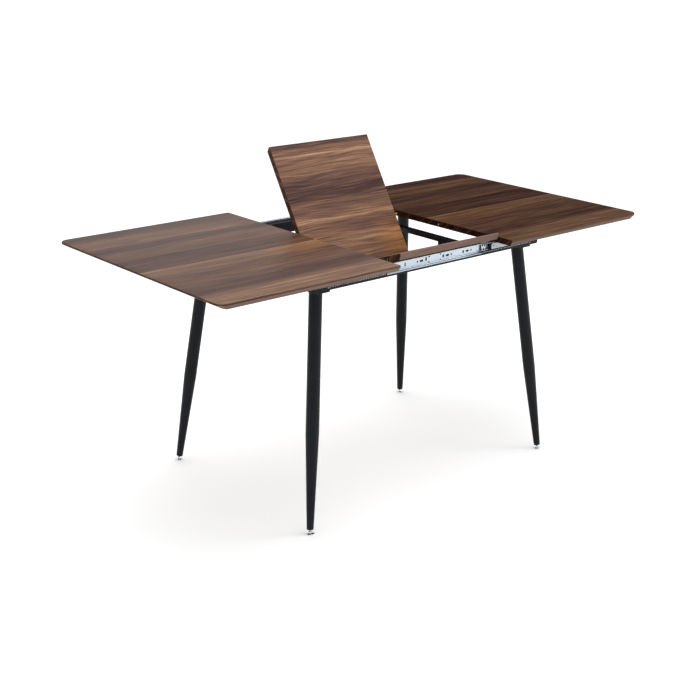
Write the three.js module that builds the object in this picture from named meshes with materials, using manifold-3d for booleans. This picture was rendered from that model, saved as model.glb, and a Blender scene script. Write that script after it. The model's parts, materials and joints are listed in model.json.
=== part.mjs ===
// Extendable dining table, drawn open with its folding leaf half unfolded.
// Millimetres. X runs along the table, Y across it, Z up. The origin is on the floor,
// under the middle of the frame.
import * as THREE from 'three';
import { mergeVertices } from 'three/addons/utils/BufferGeometryUtils.js';
import Module from 'manifold-3d';

const wasm = await Module();
wasm.setup();

// ---------------------------------------------------------------- driving dimensions
const TABLE_HEIGHT = 753;
const TABLE_WIDTH = 800;
const TOP_LENGTH = 596;
const LEAF_LENGTH = 390;
const BOARD = 18;
const OPENING = 222.5; // from the middle of the frame to each top's cut edge

const CORNER_RADIUS = 30;
const LIP = 5.5; // upright part of the moulded edge
const UNDERCUT = { end: 22, side: 9 }; // how far the moulded edge leans in below the lip
const ARRIS = 1.8; // rounding along the top of the moulded edge

const GAP = 0.3; // between pieces that touch
const RUNNING = 0.3; // around pins and stems that move

const RAIL_HALF_LENGTH = 444;
const RAIL_OUTER_Y = 300;
const RAIL_THICK = 20;
const RAIL_HEIGHT = 34.2;
const RAIL_DROP = 28.8; // from the table top down to the rail
const TUBE_WALL = 1.5;
const CAP_LENGTH = 6;

const CROSSBAR_X = 218; // inner face
const CROSSBAR_WIDTH = 26;
const CROSSBAR_HEIGHT = 12.5;
const STOP_BLOCK = { near: -150, far: -95, height: 12 };

const SLIDE_DROP = 37; // from the table top down to the middle of the slide
const SLIDE_HEIGHT = 30.6;
const SLIDE_DEPTH = 12;
const SLIDE_HALF_LENGTH = 404;
const SLIDE_SHEET = 1.5;
const MEMBER_HEIGHT = 18.4;
const MEMBER_LENGTH = 330;
const MEMBER_SETBACK = 8; // from the top's cut edge to the sliding member's end
const CAGE_SHEET = 0.8;
const CAGE_HEIGHT = 23;
const CAGE_LENGTH = 210;
const CAGE_START = 190;

const BRACKET_SHEET = 2;
const BRACKET_LENGTH = 130;
const BRACKET_SETBACK = 90; // from the top's cut edge
const BRACKET_REACH = 22;

const LEG_TOP = { x: 403, y: 258 };
const LEG_FOOT = { x: 479, y: 331 };
const LEG_RADIUS = 19;
const LEG_TIP_RADIUS = 10;
const LEG_TAPER_LENGTH = 275;
const LEG_WALL = 1.5;
const LEG_LIFT = 14; // of the leg's tip above the floor, along the leg
const PLATE = { length: 56, width: 64, thick: 5.5, chamfer: 12, outerY: 299 };
const GLIDE_RADIUS = 13.5;
const STEM_RADIUS = 4;

const PIVOT_Y = -320.6; // the line that the near half turns about
const PIVOT_DROP = 83.4;
const LEAF_TILT = 19.4; // of the near half, hinge edge down
const LEAF_FOLD = 78; // of the far half from the near half's plane
const ARM_X = 150;
const ARM_WIDTH = 24;
const ARM_THICK = 3;
const ARM_REACH = 46; // of its flange under the near half
const ARM_HEAD = 6; // radius round its pin
const GUIDE_RADIUS = 69; // from the turning line to the arm's pin
const GUIDE_ANGLE = 37.5; // of the pin above the turning line, with the leaf flat
const GUIDE_PIN_RADIUS = 2.2;
const GUIDE_PLATE = { reach: 34, top: 2.5, below: 7, chamfer: 3, cutBack: 12 }; // against the near rail
const BARREL_X = 120;

const PIN_DROP = 10;
const PIN_RADIUS = 3;
const PIN_REACH = 5;
const PIN_BURIED = 14;
const LEFT_PIN_ROWS = [-345, -112, 112, 345];
const RIGHT_PIN_ROWS = [-96, 96];

// Heights that follow from them.
const RAIL_TOP = TABLE_HEIGHT - RAIL_DROP;
const RAIL_BOTTOM = RAIL_TOP - RAIL_HEIGHT;
const SLIDE_Z = TABLE_HEIGHT - SLIDE_DROP;
const PLATE_BOTTOM = RAIL_BOTTOM - GAP - PLATE.thick;
const LEG_CUT = PLATE_BOTTOM - GAP;

// ---------------------------------------------------------------- materials
const finish = (color, roughness, metalness) =>
  new THREE.MeshStandardMaterial({ color, roughness, metalness });
const walnut = finish(0x70513f, 0.5, 0);
const blackSteel = finish(0x17181b, 0.4, 0.6);
const zincSteel = finish(0xc9ced2, 0.35, 0.9);
const chrome = finish(0xd8dadc, 0.12, 1);
const brass = finish(0xc9a04a, 0.3, 1);
const blackPlastic = finish(0x141416, 0.6, 0);

// ---------------------------------------------------------------- solids
const table = new THREE.Group();

function addPiece(name, geometry, material, parent = table) {
  const mesh = new THREE.Mesh(geometry, material);
  mesh.name = name;
  parent.add(mesh);
  return mesh;
}

function toSolid(geometry) {
  const bare = geometry.clone();
  bare.deleteAttribute('normal');
  bare.deleteAttribute('uv');
  const merged = mergeVertices(bare, 1e-4);
  return new wasm.Manifold(new wasm.Mesh({
    numProp: 3,
    vertProperties: new Float32Array(merged.attributes.position.array),
    triVerts: new Uint32Array(merged.index.array),
  }));
}

function toGeometry(solid) {
  const mesh = solid.getMesh();
  const geometry = new THREE.BufferGeometry();
  geometry.setAttribute('position', new THREE.BufferAttribute(mesh.vertProperties, 3));
  geometry.setIndex(new THREE.BufferAttribute(mesh.triVerts, 1));
  geometry.computeVertexNormals();
  return geometry;
}

const join = (...parts) => toGeometry(parts.map(toSolid).reduce((a, b) => a.add(b)));
const cut = (body, ...tools) =>
  toGeometry(tools.map(toSolid).reduce((a, b) => a.subtract(b), toSolid(body)));

function block(x0, x1, y0, y1, z0, z1) {
  const geometry = new THREE.BoxGeometry(x1 - x0, y1 - y0, z1 - z0);
  return geometry.translate((x0 + x1) / 2, (y0 + y1) / 2, (z0 + z1) / 2);
}

// A cylinder between two points.
function rod(radius, from, to, segments = 24) {
  const axis = new THREE.Vector3().subVectors(to, from);
  const geometry = new THREE.CylinderGeometry(radius, radius, axis.length(), segments);
  const turn = new THREE.Quaternion().setFromUnitVectors(
    new THREE.Vector3(0, 1, 0), axis.clone().normalize());
  const middle = new THREE.Vector3().addVectors(from, to).multiplyScalar(0.5);
  return geometry.applyQuaternion(turn).translate(middle.x, middle.y, middle.z);
}

const point = (x, y, z) => new THREE.Vector3(x, y, z);

// A section drawn in Y and Z, run along X.
function alongX(shape, x0, x1, curveSegments = 12) {
  const options = { depth: x1 - x0, bevelEnabled: false, curveSegments };
  const geometry = new THREE.ExtrudeGeometry(shape, options);
  const turn = new THREE.Matrix4().makeBasis(point(0, 1, 0), point(0, 0, 1), point(1, 0, 0));
  return geometry.applyMatrix4(turn).translate(x0, 0, 0);
}

const polygon = (corners) => new THREE.Shape(corners.map(([u, v]) => new THREE.Vector2(u, v)));

// A ring or solid of revolution about Z, from a profile of [radius, height] points.
function turned(profile, segments = 32) {
  const points = profile.map(([r, z]) => new THREE.Vector2(r, z));
  return new THREE.LatheGeometry(points, segments).rotateX(Math.PI / 2);
}

// ---------------------------------------------------------------- boards
// The outline of a board whose moulded edges are drawn in, by one inset at its ends and another
// at its sides. Corners between two moulded edges are round, and the others are square.
function boardOutline({ x0, x1, y0, y1, moulded }, inset) {
  const left = x0 + (moulded.left ? inset.end : 0);
  const right = x1 - (moulded.right ? inset.end : 0);
  const near = y0 + (moulded.near ? inset.side : 0);
  const far = y1 - (moulded.far ? inset.side : 0);
  const corners = [
    { x: right, y: near, round: moulded.right && moulded.near, start: -90 },
    { x: right, y: far, round: moulded.right && moulded.far, start: 0 },
    { x: left, y: far, round: moulded.left && moulded.far, start: 90 },
    { x: left, y: near, round: moulded.left && moulded.near, start: 180 },
  ];
  const steps = 10;
  const radiusX = CORNER_RADIUS - inset.end;
  const radiusY = CORNER_RADIUS - inset.side;
  const outline = [];
  for (const { x, y, round, start } of corners) {
    if (!round) {
      outline.push([x, y]);
      continue;
    }
    const centreX = x + (x === right ? -radiusX : radiusX);
    const centreY = y + (y === far ? -radiusY : radiusY);
    for (let step = 0; step <= steps; step += 1) {
      const angle = THREE.MathUtils.degToRad(start + (90 * step) / steps);
      outline.push([centreX + radiusX * Math.cos(angle), centreY + radiusY * Math.sin(angle)]);
    }
  }
  return outline;
}

// A board from its outline at each level, with its top face at height zero.
function board(plan) {
  const bend = ARRIS * (1 - Math.SQRT1_2);
  const all = (inset) => ({ end: inset, side: inset });
  const levels = [
    [-BOARD, UNDERCUT], [-LIP, all(0)], [-ARRIS, all(0)], [-bend, all(bend)], [0, all(ARRIS)],
  ];
  const rings = levels.map(([, inset]) => boardOutline(plan, inset));
  const count = rings[0].length;
  const positions = [];
  rings.forEach((ring, level) => ring.forEach(([x, y]) => positions.push(x, y, levels[level][0])));
  const faces = [];
  for (let level = 0; level < rings.length - 1; level += 1) {
    for (let i = 0; i < count; i += 1) {
      const a = level * count + i;
      const b = level * count + ((i + 1) % count);
      faces.push(a, b, b + count, a, b + count, a + count);
    }
  }
  const cap = (ring) => THREE.ShapeUtils.triangulateShape(
    ring.map(([x, y]) => new THREE.Vector2(x, y)), []);
  const last = (rings.length - 1) * count;
  cap(rings[0]).forEach(([a, b, c]) => faces.push(a, c, b));
  cap(rings[rings.length - 1]).forEach(([a, b, c]) => faces.push(last + a, last + b, last + c));
  const geometry = new THREE.BufferGeometry();
  geometry.setAttribute('position', new THREE.Float32BufferAttribute(positions, 3));
  geometry.setIndex(faces);
  return geometry;
}

const MOULDED_NOWHERE = { left: false, right: false, near: false, far: false };
const pinHole = (edgeX, inward, y) => rod(
  PIN_RADIUS + RUNNING,
  point(edgeX - inward, y, -PIN_DROP),
  point(edgeX + inward * (PIN_BURIED + RUNNING), y, -PIN_DROP));

// One sliding top, its alignment pins and what hangs under it. side is -1 at the left, 1 at the right.
function addTop(label, side, pinRows) {
  const cutEdge = side * OPENING;
  const outerEdge = side * (OPENING + TOP_LENGTH);
  const plan = {
    x0: Math.min(cutEdge, outerEdge),
    x1: Math.max(cutEdge, outerEdge),
    y0: -TABLE_WIDTH / 2,
    y1: TABLE_WIDTH / 2,
    moulded: { left: side < 0, right: side > 0, near: true, far: true },
  };
  const holes = pinRows.map((y) => pinHole(cutEdge, side, y));
  const top = addPiece(`${label}_top`, cut(board(plan), ...holes), walnut);
  top.position.z = TABLE_HEIGHT;
  pinRows.forEach((y, index) => {
    const pin = rod(
      PIN_RADIUS,
      point(cutEdge - side * PIN_REACH, y, -PIN_DROP),
      point(cutEdge + side * PIN_BURIED, y, -PIN_DROP), 16);
    addPiece(`${label}_pin_${index + 1}`, pin, brass).position.z = TABLE_HEIGHT;
  });
  for (const [rowName, row] of [['near', -1], ['far', 1]]) {
    addSlideMember(`${label}_${rowName}`, side, row, OPENING + MEMBER_SETBACK);
    addTopBracket(`${label}_${rowName}`, side, row, OPENING + BRACKET_SETBACK);
    addBallCage(`${label}_${rowName}`, side, row);
  }
}

// ---------------------------------------------------------------- slides
// Sections are drawn from the rail's outer face (depth) and the slide's middle (height).
const slideY = (row, depth) => row * (RAIL_OUTER_Y + GAP + depth);

function channelSection(row, backDepth, mouthDepth, halfHeight, sheet, lip = 0) {
  const towardMouth = Math.sign(mouthDepth - backDepth);
  const innerBack = backDepth + towardMouth * sheet;
  const innerMouth = mouthDepth - towardMouth * sheet;
  const upper = lip > 0
    ? [[mouthDepth, halfHeight - sheet - lip], [innerMouth, halfHeight - sheet - lip],
      [innerMouth, halfHeight - sheet], [innerBack, halfHeight - sheet]]
    : [[mouthDepth, halfHeight - sheet], [innerBack, halfHeight - sheet]];
  const lower = upper.map(([depth, height]) => [depth, -height]).reverse();
  const outline = [[backDepth, -halfHeight], [backDepth, halfHeight], [mouthDepth, halfHeight],
    ...upper, ...lower, [mouthDepth, -halfHeight]];
  return polygon(outline.map(([depth, height]) => [slideY(row, depth), SLIDE_Z + height]));
}

function spanX(side, from, length) {
  return side > 0 ? [from, from + length] : [-from - length, -from];
}

function addSlideChannel(name, row) {
  const section = channelSection(row, 0, SLIDE_DEPTH, SLIDE_HEIGHT / 2, SLIDE_SHEET, 2);
  const channel = alongX(section, -SLIDE_HALF_LENGTH, SLIDE_HALF_LENGTH);
  addPiece(`${name}_slide_channel`, channel, zincSteel);
}

function addSlideMember(name, side, row, from) {
  const face = SLIDE_DEPTH - 0.5;
  const section = channelSection(row, face, face - 7.5, MEMBER_HEIGHT / 2, SLIDE_SHEET);
  addPiece(`${name}_slide_member`, alongX(section, ...spanX(side, from, MEMBER_LENGTH)), zincSteel);
}

function addBallCage(name, side, row) {
  const section = channelSection(row, 2.2, 9.5, CAGE_HEIGHT / 2, CAGE_SHEET);
  addPiece(`${name}_ball_cage`, alongX(section, ...spanX(side, CAGE_START, CAGE_LENGTH)), zincSteel);
}

// The angle that screws up into the top and sideways into the sliding member.
function addTopBracket(name, side, row, from) {
  const inner = SLIDE_DEPTH + GAP;
  const underTop = TABLE_HEIGHT - BOARD - GAP;
  const foot = SLIDE_Z - MEMBER_HEIGHT / 2;
  const section = polygon([
    [inner, foot], [inner, underTop], [inner + BRACKET_REACH, underTop],
    [inner + BRACKET_REACH, underTop - BRACKET_SHEET],
    [inner + BRACKET_SHEET, underTop - BRACKET_SHEET], [inner + BRACKET_SHEET, foot],
  ].map(([depth, z]) => [slideY(row, depth), z]));
  const bracket = alongX(section, ...spanX(side, from, BRACKET_LENGTH));
  addPiece(`${name}_top_bracket`, bracket, blackSteel);
}

// ---------------------------------------------------------------- frame
function tubeSection(y0, y1, z0, z1) {
  const corners = (inset) => [[y0 + inset, z0 + inset], [y1 - inset, z0 + inset],
    [y1 - inset, z1 - inset], [y0 + inset, z1 - inset]];
  const section = polygon(corners(0));
  section.holes.push(polygon(corners(TUBE_WALL)));
  return section;
}

function addRail(name, row) {
  const outer = row * RAIL_OUTER_Y;
  const inner = row * (RAIL_OUTER_Y - RAIL_THICK);
  const [y0, y1] = row > 0 ? [inner, outer] : [outer, inner];
  const section = tubeSection(y0, y1, RAIL_BOTTOM, RAIL_TOP);
  addPiece(`${name}_side_rail`, alongX(section, -RAIL_HALF_LENGTH, RAIL_HALF_LENGTH), blackSteel);
  for (const [endName, end] of [['left', -1], ['right', 1]]) {
    addPiece(`${name}_${endName}_rail_cap`, railCap(end, y0, y1), blackPlastic);
  }
}

// A plug that fits in the rail's end, with a head that has round upper and lower corners.
function railCap(end, y0, y1) {
  const face = RAIL_HALF_LENGTH + GAP;
  const head = new THREE.Shape();
  head.moveTo(face, RAIL_BOTTOM);
  head.absarc(face + CAP_LENGTH - 5, RAIL_BOTTOM + 5, 5, -Math.PI / 2, 0, false);
  head.absarc(face + CAP_LENGTH - 5, RAIL_TOP - 5, 5, 0, Math.PI / 2, false);
  head.lineTo(face, RAIL_TOP);
  head.closePath();
  const options = { depth: y1 - y0, bevelEnabled: false, curveSegments: 6 };
  const headSolid = new THREE.ExtrudeGeometry(head, options).rotateX(Math.PI / 2).translate(0, y1, 0);
  const wall = TUBE_WALL + GAP;
  const plug = block(face - 12, face + 1, y0 + wall, y1 - wall, RAIL_BOTTOM + wall, RAIL_TOP - wall);
  const cap = join(headSolid, plug);
  return end > 0 ? cap : cap.rotateZ(Math.PI).translate(0, y0 + y1, 0);
}

function addCrossbar(name, side) {
  const [x0, x1] = spanX(side, CROSSBAR_X, CROSSBAR_WIDTH);
  const reach = RAIL_OUTER_Y - RAIL_THICK - GAP;
  const [z0, z1] = [RAIL_BOTTOM, RAIL_BOTTOM + CROSSBAR_HEIGHT];
  const outside = block(x0, x1, -reach, reach, z0, z1);
  const bore = block(
    x0 + TUBE_WALL, x1 - TUBE_WALL, -reach - 1, reach + 1, z0 + TUBE_WALL, z1 - TUBE_WALL);
  addPiece(`${name}_crossbar`, cut(outside, bore), blackSteel);
  const under = z0 - GAP;
  const stop = block(
    x0 + 2, x1 - 2, STOP_BLOCK.near, STOP_BLOCK.far, under - STOP_BLOCK.height, under);
  addPiece(`${name}_crossbar_block`, stop, blackPlastic);
}

// ---------------------------------------------------------------- legs
// A leg is turned upright, then leaned so that its axis runs from the foot point on the
// floor to the plate.
function addLeg(name, side, row) {
  const foot = point(side * LEG_FOOT.x, row * LEG_FOOT.y, 0);
  const head = point(side * LEG_TOP.x, row * LEG_TOP.y, LEG_CUT);
  const axis = new THREE.Vector3().subVectors(head, foot);
  const length = axis.length();
  const lean = new THREE.Quaternion().setFromUnitVectors(
    point(0, 0, 1), axis.clone().normalize());
  const leaned = (geometry) => geometry.applyQuaternion(lean).translate(foot.x, foot.y, 0);

  const past = length + 10;
  const bend = LEG_LIFT + LEG_TAPER_LENGTH;
  const tube = turned([
    [LEG_TIP_RADIUS, LEG_LIFT], [LEG_RADIUS, bend], [LEG_RADIUS, past],
    [LEG_RADIUS - LEG_WALL, past], [LEG_RADIUS - LEG_WALL, bend],
    [LEG_TIP_RADIUS - LEG_WALL, LEG_LIFT], [LEG_TIP_RADIUS, LEG_LIFT],
  ]);
  const above = block(head.x - 60, head.x + 60, head.y - 60, head.y + 60, LEG_CUT, LEG_CUT + 60);
  addPiece(`${name}_leg`, cut(leaned(tube), above), blackSteel);

  const insertRadius = LEG_TIP_RADIUS - LEG_WALL - GAP;
  const bore = STEM_RADIUS + RUNNING;
  const insert = turned([
    [insertRadius, LEG_LIFT], [insertRadius + 0.6, LEG_LIFT + 22], [bore, LEG_LIFT + 22],
    [bore, LEG_LIFT], [insertRadius, LEG_LIFT],
  ], 24);
  addPiece(`${name}_leg_insert`, leaned(insert), blackPlastic);

  const disc = turned([
    [0, 0], [GLIDE_RADIUS - 0.8, 0], [GLIDE_RADIUS, 0.8], [GLIDE_RADIUS, 3],
    [GLIDE_RADIUS - 1.5, 4.2], [6, 5], [5.2, 8], [3, 9.5], [0, 9.5],
  ]).translate(foot.x, foot.y, 0);
  const stemStart = foot.clone().addScaledVector(axis, 5 / length);
  const stemEnd = foot.clone().addScaledVector(axis, (LEG_LIFT + 18) / length);
  addPiece(`${name}_glide`, join(disc, rod(STEM_RADIUS, stemStart, stemEnd)), chrome);
  addLegPlate(`${name}_leg_plate`, side, row);
}

function addLegPlate(name, side, row) {
  const half = PLATE.length / 2;
  const c = PLATE.chamfer;
  const inner = PLATE.outerY - PLATE.width;
  const shape = polygon([
    [-half + c, inner], [half - c, inner], [half, inner + c], [half, PLATE.outerY - c],
    [half - c, PLATE.outerY], [-half + c, PLATE.outerY], [-half, PLATE.outerY - c],
    [-half, inner + c],
  ]);
  const options = { depth: PLATE.thick, bevelEnabled: false };
  const plate = new THREE.ExtrudeGeometry(shape, options);
  plate.rotateZ(row < 0 ? Math.PI : 0).translate(side * LEG_TOP.x, 0, PLATE_BOTTOM);
  addPiece(name, plate, blackSteel);
}

// ---------------------------------------------------------------- folding leaf
// The leaf is drawn flat, at the height of the table top, inside two nested groups: the first
// turns both halves about the line below the near rail, and the second turns the far half
// about the line where the halves meet.
function addLeaf() {
  const pivot = new THREE.Group();
  pivot.position.set(0, PIVOT_Y, TABLE_HEIGHT - PIVOT_DROP);
  pivot.rotation.x = THREE.MathUtils.degToRad(-LEAF_TILT);
  table.add(pivot);
  const nearHalf = new THREE.Group();
  nearHalf.position.set(0, -PIVOT_Y, PIVOT_DROP);
  pivot.add(nearHalf);
  const farHalf = new THREE.Group();
  farHalf.rotation.x = THREE.MathUtils.degToRad(LEAF_FOLD);
  nearHalf.add(farHalf);
  addLeafHalf('near', -1, nearHalf);
  addLeafHalf('far', 1, farHalf);
  for (const [sideName, side] of [['left', -1], ['right', 1]]) {
    addLeafArm(sideName, side, nearHalf);
  }
}

function addLeafHalf(name, row, parent) {
  const hingeEdge = row * (GAP / 2);
  const outerEdge = row * (TABLE_WIDTH / 2);
  const plan = {
    x0: -LEAF_LENGTH / 2,
    x1: LEAF_LENGTH / 2,
    y0: Math.min(hingeEdge, outerEdge),
    y1: Math.max(hingeEdge, outerEdge),
    moulded: { ...MOULDED_NOWHERE, near: row < 0, far: row > 0 },
  };
  const onThisHalf = (y) => y * row > 0;
  const holes = [
    ...LEFT_PIN_ROWS.filter(onThisHalf).map((y) => pinHole(plan.x0, 1, y)),
    ...RIGHT_PIN_ROWS.filter(onThisHalf).map((y) => pinHole(plan.x1, -1, y)),
  ];
  const barrelY = (depth) => hingeEdge + row * depth;
  for (const [sideName, side] of [['left', -1], ['right', 1]]) {
    const x = side * BARREL_X;
    const z = -BOARD / 2 + 0.5;
    holes.push(rod(6 + GAP, point(x, barrelY(-1), z), point(x, barrelY(25.5), z), 20));
    const barrel = rod(6, point(x, barrelY(GAP), z), point(x, barrelY(25), z), 20);
    addPiece(`leaf_${name}_hinge_${sideName}`, barrel, brass, parent);
  }
  addPiece(`leaf_${name}_half`, cut(board(plan), ...holes), walnut, parent);
}

// An arm under the near half, and the guide inside the near rail that carries it. The arm's pin
// runs in the guide's curved slot, whose centre is the line that the near half turns about.
function addLeafArm(sideName, side, nearHalf) {
  const guideFace = ARM_X;
  const armFace = guideFace + ARM_THICK + GAP;
  const onArc = (radius, degrees) => {
    const angle = THREE.MathUtils.degToRad(degrees);
    return [PIVOT_Y + radius * Math.cos(angle), -PIVOT_DROP + radius * Math.sin(angle)];
  };

  const [pinY, pinZ] = onArc(GUIDE_RADIUS, GUIDE_ANGLE);
  const under = -BOARD - GAP;
  const web = new THREE.Shape();
  web.moveTo(pinY - ARM_HEAD, under);
  web.absarc(pinY, pinZ, ARM_HEAD, -Math.PI, 0, false);
  web.lineTo(pinY - ARM_HEAD + ARM_REACH, under - ARM_THICK);
  web.lineTo(pinY - ARM_HEAD + ARM_REACH, under);
  web.closePath();
  const [flange0, flange1] = spanX(side, armFace, ARM_WIDTH);
  const flange = block(
    flange0, flange1, pinY - ARM_HEAD, pinY - ARM_HEAD + ARM_REACH, under - ARM_THICK, under);
  const pin = rod(
    GUIDE_PIN_RADIUS, point(side * (guideFace - 2), pinY, pinZ), point(side * (armFace + 1), pinY, pinZ));
  const arm = join(alongX(web, ...spanX(side, armFace, ARM_THICK), 8), flange, pin);
  addPiece(`leaf_arm_${sideName}`, arm, blackSteel, nearHalf);

  const railFace = -RAIL_OUTER_Y + RAIL_THICK + GAP;
  const { reach, top: topGap, below, chamfer, cutBack } = GUIDE_PLATE;
  const foot = -(RAIL_DROP + RAIL_HEIGHT) - below;
  const top = -RAIL_DROP - topGap;
  const plate = polygon([
    [railFace, top], [railFace, foot], [railFace + reach - chamfer, foot],
    [railFace + reach, foot + chamfer], [railFace + reach, top - cutBack],
  ]);
  plate.holes.push(arcSlot(onArc, GUIDE_PIN_RADIUS + RUNNING));
  const tab = block(
    ...spanX(side, guideFace - ARM_WIDTH, ARM_WIDTH + 1), railFace, railFace + ARM_THICK,
    foot + below, top);
  const guide = join(alongX(plate, ...spanX(side, guideFace, ARM_THICK), 8), tab);
  addPiece(`leaf_guide_${sideName}`, guide, blackSteel).position.z = TABLE_HEIGHT;
}

// A slot as wide as the pin, from the pin's place with the leaf down to its place with it flat.
function arcSlot(onArc, halfWidth) {
  const [low, high] = [GUIDE_ANGLE - LEAF_TILT, GUIDE_ANGLE];
  const margin = 0.3;
  const [a0, a1] = [low - margin, high + margin].map(THREE.MathUtils.degToRad);
  const slot = new THREE.Path();
  slot.absarc(PIVOT_Y, -PIVOT_DROP, GUIDE_RADIUS + halfWidth, a0, a1, false);
  slot.absarc(...onArc(GUIDE_RADIUS, high + margin), halfWidth, a1, a1 + Math.PI, false);
  slot.absarc(PIVOT_Y, -PIVOT_DROP, GUIDE_RADIUS - halfWidth, a1, a0, true);
  slot.absarc(...onArc(GUIDE_RADIUS, low - margin), halfWidth, a0 - Math.PI, a0, false);
  return slot;
}

// ---------------------------------------------------------------- the table
for (const [rowName, row] of [['near', -1], ['far', 1]]) {
  addRail(rowName, row);
  addSlideChannel(rowName, row);
  for (const [sideName, side] of [['left', -1], ['right', 1]]) {
    addLeg(`${rowName}_${sideName}`, side, row);
  }
}
addCrossbar('left', -1);
addCrossbar('right', 1);
addTop('left', -1, LEFT_PIN_ROWS);
addTop('right', 1, RIGHT_PIN_ROWS);
addLeaf();

export default table;
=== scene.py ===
import json
import math

import bmesh
import bpy
from mathutils import Matrix, Vector

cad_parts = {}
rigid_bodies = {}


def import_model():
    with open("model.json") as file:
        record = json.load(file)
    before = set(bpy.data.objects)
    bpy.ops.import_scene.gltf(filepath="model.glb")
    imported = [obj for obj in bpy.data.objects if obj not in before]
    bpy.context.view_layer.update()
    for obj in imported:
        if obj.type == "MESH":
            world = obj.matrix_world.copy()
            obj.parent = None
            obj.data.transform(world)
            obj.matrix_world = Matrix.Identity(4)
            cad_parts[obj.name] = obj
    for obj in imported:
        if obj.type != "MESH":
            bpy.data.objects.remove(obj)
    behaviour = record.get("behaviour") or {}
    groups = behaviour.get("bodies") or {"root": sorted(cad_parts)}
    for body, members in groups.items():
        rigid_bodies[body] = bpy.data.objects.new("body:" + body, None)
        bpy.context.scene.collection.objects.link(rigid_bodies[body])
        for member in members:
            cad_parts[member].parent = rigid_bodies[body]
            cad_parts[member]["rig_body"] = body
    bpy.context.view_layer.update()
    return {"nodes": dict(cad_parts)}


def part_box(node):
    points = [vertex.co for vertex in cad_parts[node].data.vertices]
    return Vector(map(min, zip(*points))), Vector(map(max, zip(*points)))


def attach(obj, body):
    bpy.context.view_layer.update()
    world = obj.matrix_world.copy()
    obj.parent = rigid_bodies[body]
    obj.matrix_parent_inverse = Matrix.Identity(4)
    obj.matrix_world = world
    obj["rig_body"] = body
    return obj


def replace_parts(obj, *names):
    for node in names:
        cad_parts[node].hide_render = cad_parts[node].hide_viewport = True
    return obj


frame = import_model()
nodes = frame["nodes"]

# ---------------------------------------------------------------- dimensions, in metres
TABLE_HEIGHT = 0.753
TABLE_WIDTH = 0.8
BOARD = 0.018
CORNER_RADIUS = 0.03
LIP = 0.0055
END_UNDERCUT = 0.022
SIDE_UNDERCUT = 0.009
ARRIS = 0.0018

GAP = 0.0003
RAIL_OUTER_Y = 0.3
SLIDE_Z = TABLE_HEIGHT - 0.037
SLIDE_FACE = RAIL_OUTER_Y + GAP
SLIDE_DEPTH = 0.012
SLIDE_HALF_HEIGHT = 0.0153
SLIDE_SHEET = 0.0015
MEMBER_HALF_HEIGHT = 0.0092
CAGE_HALF_HEIGHT = 0.0115
CAGE_SHEET = 0.0008
SLIDE_LIP = 0.0004
BALL_RADIUS = 0.0013
BALL_PITCH = 0.0062

LEG_TOP = (0.403, 0.258)
LEG_FOOT = (0.479, 0.331)
LEG_RADIUS = 0.019
LEG_TIP_RADIUS = 0.01
LEG_TAPER = 0.275
LEG_LIFT = 0.014
LEG_WALL = 0.0015
GLIDE_RADIUS = 0.0135
STEM_RADIUS = 0.004

PIN_DROP = 0.01
PIN_RADIUS = 0.003
PIN_CLEARANCE = 0.0003
PIN_BURIED = 0.0143
PIN_START = 0.014
OVERCUT = 0.002
PIN_ROWS = {-1: (-0.345, -0.112, 0.112, 0.345), 1: (-0.096, 0.096)}

LEAF_TILT = math.radians(19.4)
LEAF_FOLD = math.radians(78)
LEAF_PIVOT = Vector((0, -0.3206, TABLE_HEIGHT - 0.0834))
LEAF_SEAM = Vector((0, 0, TABLE_HEIGHT))

SIDES = {"left": -1, "right": 1}
ROWS = {"near": -1, "far": 1}
WHITE = (1, 1, 1, 1)
BLACK = (0, 0, 0, 1)


# ---------------------------------------------------------------- where the leaf halves lie
def turned_about(point, angle):
    """The turn about a line along X through a point."""
    return Matrix.Translation(point) @ Matrix.Rotation(angle, 4, "X") @ Matrix.Translation(-point)


NEAR_PLACE = turned_about(LEAF_PIVOT, -LEAF_TILT)
FAR_PLACE = NEAR_PLACE @ turned_about(LEAF_SEAM, LEAF_FOLD)
LEVEL = Matrix.Identity(4)


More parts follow.
